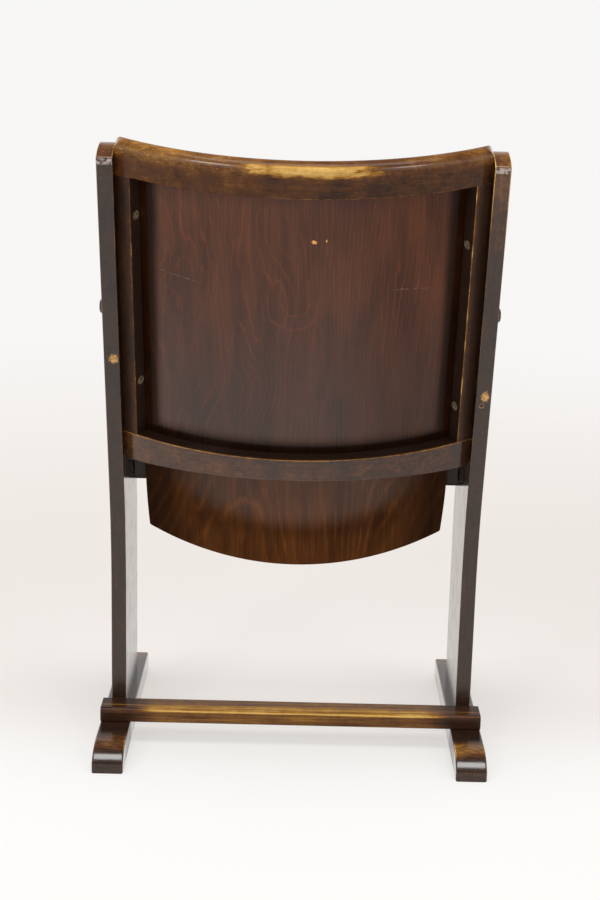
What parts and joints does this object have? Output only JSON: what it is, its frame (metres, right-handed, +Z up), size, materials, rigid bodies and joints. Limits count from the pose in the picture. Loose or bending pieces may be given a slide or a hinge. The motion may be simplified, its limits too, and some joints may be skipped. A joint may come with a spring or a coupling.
{
  "type": "tip up auditorium seat",
  "caption": "Freestanding wooden auditorium seat with leaning side boards on runner feet, a curved framed back and a plywood seat that tips up about side pivots.",
  "frame": {"origin": "on the floor, at the middle of the overall box in X and Y, with the seat tipped up", "axes": "+Z up, -Y the way the sitter faces, +X to the sitter's left"},
  "size_m": [0.544, 0.4508, 0.861],
  "materials": {
    "dark_lacquered_wood": "dark brown glossy lacquer, worn through to golden wood along the arrises",
    "back_veneer": "dark reddish veneer with upright figure, glossy",
    "seat_veneer": "reddish brown veneer with fine grain, glossy",
    "seat_frame_wood": "stained beech, satin",
    "plain_beech": "bare beech",
    "steel": "dulled steel",
    "brass": "dull bronze and brass",
    "rubber": "black rubber"
  },
  "bodies": {
    "frame": {"left_side_board": "dark_lacquered_wood", "right_side_board": "dark_lacquered_wood", "left_foot": "dark_lacquered_wood", "right_foot": "dark_lacquered_wood", "rear_stretcher": "dark_lacquered_wood", "top_rail": "dark_lacquered_wood", "bottom_rail": "dark_lacquered_wood", "left_stile": "dark_lacquered_wood", "right_stile": "dark_lacquered_wood", "back_panel": "back_veneer", "back_fixing_screws": "steel", "back_panel_screws": "steel", "foot_screws": "steel", "foot_dowels": "plain_beech", "stretcher_screws": "steel", "side_bolts": "steel", "side_bolt_inserts": "brass", "left_pivot_plate": "steel", "right_pivot_plate": "steel", "pivot_plate_screws": "steel", "left_stop_block": "seat_frame_wood", "right_stop_block": "seat_frame_wood", "stop_block_screws": "steel", "down_stop_pads": "rubber", "up_stop_pads": "rubber"},
    "seat": {"seat_panel": "seat_veneer", "left_seat_rail": "seat_frame_wood", "right_seat_rail": "seat_frame_wood", "rear_cross_rail": "seat_frame_wood", "front_cross_rail": "seat_frame_wood", "seat_dowels": "plain_beech", "seat_panel_screws": "steel", "left_pivot_bush": "brass", "right_pivot_bush": "brass", "left_pivot_washer": "steel", "right_pivot_washer": "steel"}
  },
  "joints": [
    {"name": "seat_tip", "type": "hinge", "parent": "frame", "child": "seat", "pos_m": [0, -0.0694, 0.395], "axis": [1, 0, 0], "range_deg": [0, 97]}
  ]
}
